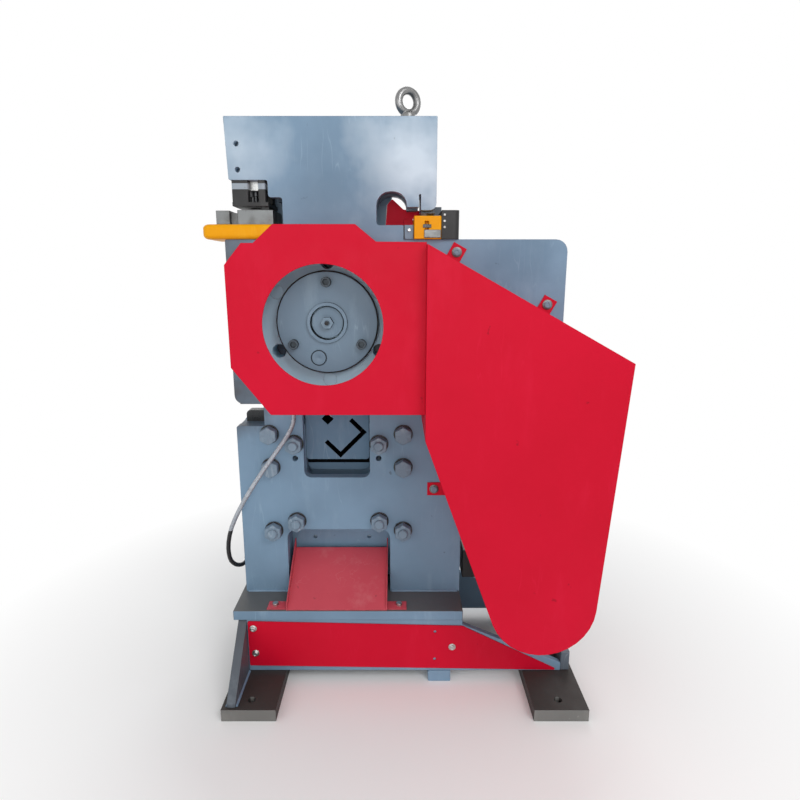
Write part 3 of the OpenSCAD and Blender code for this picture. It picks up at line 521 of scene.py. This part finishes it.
def socket_screw(x, z, face, r):
    """Small socket screw seen from the front: a rounded head with a hollow in its middle."""
    return turned(x, z, [(face + 0.5, r), (face - r * 0.8, r), (face - r, r * 0.85), (face - r, r * 0.5),
                         (face - r * 0.5, r * 0.45)], 24)


# Each as x, z, the face that it sits on, and its radius.
BLOCK_SCREWS = [(305, 1351, -74.0, 3.2), (305, 1335, -74.0, 3.2), (305, 1319, -74.0, 3.2),
                (210, 1312, -70.0, 4.2)]
piece("tool_block_screws", [socket_screw(*row) for row in BLOCK_SCREWS], "frame", STEEL)


def plate(outline, y, t, e=1.0):
    """Plate standing t out from y, to the rear where t is negative; its outer face is drawn in by e."""
    corner = np.asarray(outline, float)
    inward = np.sign(corner.mean(axis=0) - corner) * e
    rows = [(y, 0), (y - t + math.copysign(e, t), 0), (y - t, 1)]
    return capped(np.stack([np.insert(corner + k * inward, 1, h, axis=1) for h, k in rows]))


def square(x0, x1, z0, z1):
    """Corners of a rectangle, in order."""
    return [(x0, z0), (x1, z0), (x1, z1), (x0, z1)]


REAR_Y, DIE_Y = -FRONT_Y, -80.0
BACK_T, BACK_EDGE = 3.0, 0.2


def back_sheets(*outlines):
    """Thin sheets on the rear face, one for each outline."""
    return [plate(outline, REAR_Y, -BACK_T, BACK_EDGE) for outline in outlines]


ARCH_LOW = [(112, 1296), (141.6, 1296), (147.6, 1390), (112, 1390)]
ARCH_HIGH = [(112, 1390), (147.6, 1390), (162.6, 1407.6), (162.6, 1425), (112, 1425)]
THROAT, NOTCH = square(-196, -96, 1332, 1418), square(262, 306, 1342, 1385)
APRON = square(196, 223, 1326, 1352)
piece("arch_back_plate", back_sheets(ARCH_LOW, ARCH_HIGH), "frame", FRAME_PAINT)
piece("throat_back_plate", back_sheets(THROAT), "frame", FRAME_PAINT)
piece("notch_stay_plate", back_sheets(NOTCH), "frame", GUSSET_PAINT)
piece("guard_apron", back_sheets(APRON), "frame", GUARD_RED)

SHIM, SHIM_HALF = square(195.2, 197.8, 1288.5, 1325), 64.0
DIE_PLATE, LOCK_BAR = square(250, 295, 1291, 1312), square(247, 269, 1317, 1326)
piece("die_shim", [plate(SHIM, SHIM_HALF, 2 * SHIM_HALF, 0.4)], "frame", TOOL_STEEL)
piece("die_front_plate", [plate(DIE_PLATE, DIE_Y, 3.0)], "frame", DIE_STEEL)
piece("die_lock_bar", [plate(LOCK_BAR, DIE_Y, 2.0, 0.6)], "frame", TOOL_STEEL)


# Hub
WEB_Y, WEB_HOLE_RING, WEB_PLUG_R, HUB_R = -178.0, 152.0, 17.9, 127.0
GAP_SHADE_R = 3.2
HUB_PLUG_X, HUB_PLUG_Z = -24, SHAFT_Z - 90
# Profiles as depth from the hub's front face, and radius.
HUB_PLUG = np.array([(4, 19), (-0.5, 19), (-1.5, 17.8), (-1.5, 4), (-0.8, 2.5)])
GREASE_HOLE_SHADE = np.array([(-15, 5.2), (-16.6, 5.2), (-17, 4.6)])


def web_plugs():
    """Flush plugs in every second hole of the main gear's web: discs turned about the holes' axes."""
    a = np.radians([30, 150, 270])
    spots = zip(WEB_HOLE_RING * np.cos(a), SHAFT_Z + WEB_HOLE_RING * np.sin(a))
    profile = [(WEB_Y + 8, WEB_PLUG_R), (WEB_Y - 0.3, WEB_PLUG_R), (WEB_Y - 0.6, WEB_PLUG_R - 0.6)]
    return [turned(x, z, profile) for x, z in spots]


def hub_gap_shade_ring():
    """Dark torus round the hub disc, near its front edge, as painted shade of the gap round it: radius hub +
    0.5 + r cos v, depth r sin v.
    """
    u = np.linspace(0, 2 * np.pi, 160, endpoint=False)[:, None]
    v = np.linspace(0, 2 * np.pi, 12, endpoint=False)[None, :]
    r = HUB_R + 0.5 + GAP_SHADE_R * np.cos(v)
    y = HUB_Y + 4 + GAP_SHADE_R * np.sin(v) + 0 * u
    return [grid(np.stack([r * np.cos(u), y, SHAFT_Z + r * np.sin(u)], axis=-1), True, True)]


piece("hub_plug", [turned(HUB_PLUG_X, HUB_PLUG_Z, HUB_PLUG + [HUB_Y, 0], 48)], "main_gear", HUB_PAINT)
piece("gear_web_plugs", web_plugs(), "main_gear", RING_PAINT)
# A dark ring in the gap round the hub disc: painted shade.
piece("hub_gap_shade_ring", hub_gap_shade_ring(), "main_gear", BELT_RUBBER)
# A dark disc in the grease fitting's nipple, standing for its hole: painted shade.
piece("grease_hole_shade", [turned(0, SHAFT_Z, GREASE_HOLE_SHADE + [HUB_Y, 0], 24)], "eccentric", BELT_RUBBER)

STOP_TAB, STOP_Y = square(52, 82, 704, 736), 64.0
piece("section_stop_tab", [plate(STOP_TAB, STOP_Y, 3.0, 0.5)], "frame", TOOL_STEEL)


# Punch table
TABLE = dict(left=-348.0, right=-138.0, half=78.0, low=1288.0, high=1327.0)
DIE_X, DIE_HOLE_R, TABLE_NOSE, NOSE_CORNER = -214.0, 20.0, 12.0, 20.0


def table_outline(inset, angles):
    """Distance from the die hole to a rectangle with two rounded corners, drawn in by inset, at each angle."""
    x0, x1, h = TABLE["left"] + inset, TABLE["right"] - inset, TABLE["half"] - inset
    r = NOSE_CORNER - 0.5 * inset
    turn = np.linspace(0, np.pi / 2, 24)
    arc = np.c_[x0 + r - r * np.sin(turn), h - r + r * np.cos(turn)]
    side = np.linspace(0, 1, 60)[:, None]
    half = np.concatenate([side * [0, h] + [x1, 0], (1 - side) * [x1, h] + side * arc[:1],
                           arc, (1 - side) * arc[-1:] + side * [x0, 0]])
    x, y = (np.concatenate([half, half[::-1] * [1, -1]]) - [DIE_X, 0]).T
    return np.interp(angles, np.arctan2(y, x), np.hypot(x, y), period=2 * np.pi)


def table_parts():
    """Closed ring of rows: the die hole's wall, then the outline over a nose, inset = nose (1 - cos lean)."""
    a = np.linspace(0, 2 * np.pi, 240, endpoint=False)
    lean = np.linspace(np.pi / 2, 0, 7)
    inset = TABLE_NOSE * (1 - np.cos(lean))
    rise = TABLE_NOSE * (np.sin(lean) - 1)
    rows = [(DIE_HOLE_R + 0 * a, TABLE["low"]), (DIE_HOLE_R + 0 * a, TABLE["high"])]
    rows += [(table_outline(i, a), TABLE["high"] + z) for i, z in zip(inset, rise)]
    rows += [(table_outline(i, a), TABLE["low"] - z) for i, z in zip(inset[::-1], rise[::-1])]
    rings = [np.stack([DIE_X + r * np.cos(a), r * np.sin(a), z + 0 * a], axis=-1) for r, z in rows]
    return [grid(np.stack(rings), True, True)]


piece("table_slab", table_parts(), "frame", TABLE_YELLOW, replaces=["punch_table"])


# Lifting eye
EYE_X, EYE_Z, EYE_TURN = 207.0, 1597.0, 28.0
EYE_R, EYE_TUBE, EYE_RISE = 28.0, 10.2, 50.5
# Collar and neck, as height and radius.
EYE_NECK = np.array([(0, 18.5), (1.2, 20), (19.5, 20), (21.5, 18.8), (23, 16), (24.5, 13.5), (26.5, 11.5),
                     (29, 10), (31, 9)])


def eyebolt_parts():
    """Ring: torus whose section swells towards the shank; shank: collar and concave neck turned about Z."""
    u = np.linspace(0, 2 * np.pi, 64, endpoint=False)[:, None]
    v = np.linspace(0, 2 * np.pi, 24, endpoint=False)[None, :]
    thick = EYE_TUBE * (1.0 + 0.06 * (1.0 - np.sin(u)) / 2)
    rad = EYE_R + thick * np.cos(v)
    ring = np.stack([rad * np.cos(u), thick * np.sin(v), EYE_RISE + rad * np.sin(u)], axis=-1)
    a = np.linspace(0, 2 * np.pi, 40, endpoint=False)[None, :]
    r, z = EYE_NECK[:, 1:2], EYE_NECK[:, 0:1]
    neck = np.stack([r * np.cos(a), r * np.sin(a), z + 0 * a], axis=-1)
    c, s = math.cos(math.radians(EYE_TURN)), math.sin(math.radians(EYE_TURN))
    turn = np.array([[c, s, 0], [-s, c, 0], [0, 0, 1]])
    return [(v @ turn + [EYE_X, 0.0, EYE_Z], f) for v, f in (grid(ring, True, True), capped(neck))]


piece("lifting_eye_ring", eyebolt_parts(), "frame", EYE_STEEL, sharp=60, replaces=["eyebolt"])


# Weld runs
GUSSET_SIDES = (-290, -265)


def bead(a, b, r=4.2):
    """Weld run along an edge: a round bead with ripples, r (1 + 0.16 |sin(s / 3.4)| + 0.06 sin(s / 17))."""
    a, b = np.array(a, float), np.array(b, float)
    t = np.linspace(0, 1, max(12, int(np.linalg.norm(b - a) / 2.2)))[:, None]
    return carried(a * (1 - t) + b * t, r,
                   lambda s: 1.0 + 0.16 * np.abs(np.sin(s / 3.4)) + 0.06 * np.sin(s / 17.0))


def weld_parts():
    """Runs along the plates' feet, under the base plate at the left gusset, and along that gusset's foot."""
    runs = []
    for y in (FRONT_Y, -FRONT_Y):
        runs += [bead((-284, y, BASE_Z), (-160, y, BASE_Z)), bead((160, y, BASE_Z), (364, y, BASE_Z))]
    runs += [bead((x, -150, BASE_LOW), (x, 150, BASE_LOW)) for x in GUSSET_SIDES]
    for x in GUSSET_SIDES:
        runs += [bead((x, s * 322, FOOT_Z), (x, s * 178, FOOT_Z)) for s in (-1, 1)]
    return runs


piece("weld_runs", weld_parts(), "frame", FRAME_PAINT, sharp=70)


# Stage and light
FLOOR_HALF = 12
FADE_FROM, FADE_TO = 0.7, 1.5       # metres from the origin
AMBIENT = 0.54                      # the surround's light on the machine; it shows as 1


def make_floor():
    """Pale floor that fades to white away from the machine."""
    mesh = bpy.data.meshes.new("floor")
    corners = [(x * FLOOR_HALF, y * FLOOR_HALF, 0) for x, y in ((-1, -1), (1, -1), (1, 1), (-1, 1))]
    mesh.from_pydata(corners, [], [(0, 1, 2, 3)])
    floor = bpy.data.objects.new("floor", mesh)
    bpy.context.scene.collection.objects.link(floor)
    f = Finish("studio_floor")
    f.shade((0.9, 0.9, 0.9, 1), 0.8, f.noise(60.0), 0.0001)
    away = f.vector("LENGTH", f.coord)
    path = f.add("ShaderNodeLightPath")
    seen = f.math("MAXIMUM", path.outputs["Is Camera Ray"], path.outputs["Is Glossy Ray"])
    fade = f.math("MULTIPLY", f.span(away, FADE_FROM, FADE_TO), seen)
    white = f.add("ShaderNodeEmission", {"Color": (1, 1, 1, 1), "Strength": 1.0}).outputs[0]
    blend = f.add("ShaderNodeMixShader", {0: fade, 1: f.bsdf.outputs[0], 2: white}).outputs[0]
    f.put(f.tree.nodes["Material Output"].inputs["Surface"], blend)
    mesh.materials.append(f.mat)


def make_surround():
    """Plain surround: white where it is seen or mirrored, and dimmer as a light."""
    world = bpy.data.worlds.new("studio")
    bpy.context.scene.world = world
    world.use_nodes = True
    tree = world.node_tree
    path = tree.nodes.new("ShaderNodeLightPath")
    seen = tree.nodes.new("ShaderNodeMath")
    seen.operation = "MAXIMUM"
    tree.links.new(path.outputs["Is Camera Ray"], seen.inputs[0])
    tree.links.new(path.outputs["Is Glossy Ray"], seen.inputs[1])
    level = tree.nodes.new("ShaderNodeMapRange")
    level.inputs["To Min"].default_value = AMBIENT
    level.inputs["To Max"].default_value = 1.0
    tree.links.new(seen.outputs[0], level.inputs["Value"])
    back = tree.nodes["Background"]
    back.inputs["Color"].default_value = (1, 1, 1, 1)
    tree.links.new(level.outputs[0], back.inputs["Strength"])


def lamp(name, place, aim, size, power):
    """Soft square lamp at a place, turned to face a point."""
    data = bpy.data.lights.new(name, "AREA")
    data.energy, data.size = power, size
    obj = bpy.data.objects.new(name, data)
    obj.location = place
    d = np.array(aim, float) - np.array(place, float)
    obj.rotation_euler = (math.acos(-d[2] / np.linalg.norm(d)), 0.0, math.atan2(d[1], d[0]) - math.pi / 2)
    bpy.context.scene.collection.objects.link(obj)


# Name, place, aim, size and power.
LAMPS = [("key_lamp", (1.7, -3.0, 3.2), (0, 0, 0.9), 1.8, 45.0),
         ("fill_lamp", (-2.4, -2.6, 1.6), (0, 0, 0.8), 2.4, 14.0),
         ("front_lamp", (-0.2, -3.4, 1.5), (0, 0, 1.0), 1.2, 20.0),
         ("head_lamp", (0.7, -1.9, 2.5), (0, 0, 1.5), 0.9, 4.0),
         ("back_lamp", (0.5, 3.2, 3.2), (0, 0, 0.9), 2.4, 45.0)]
make_floor()
make_surround()
for row in LAMPS:
    lamp(*row)
bpy.context.scene.view_settings.view_transform = "Standard"
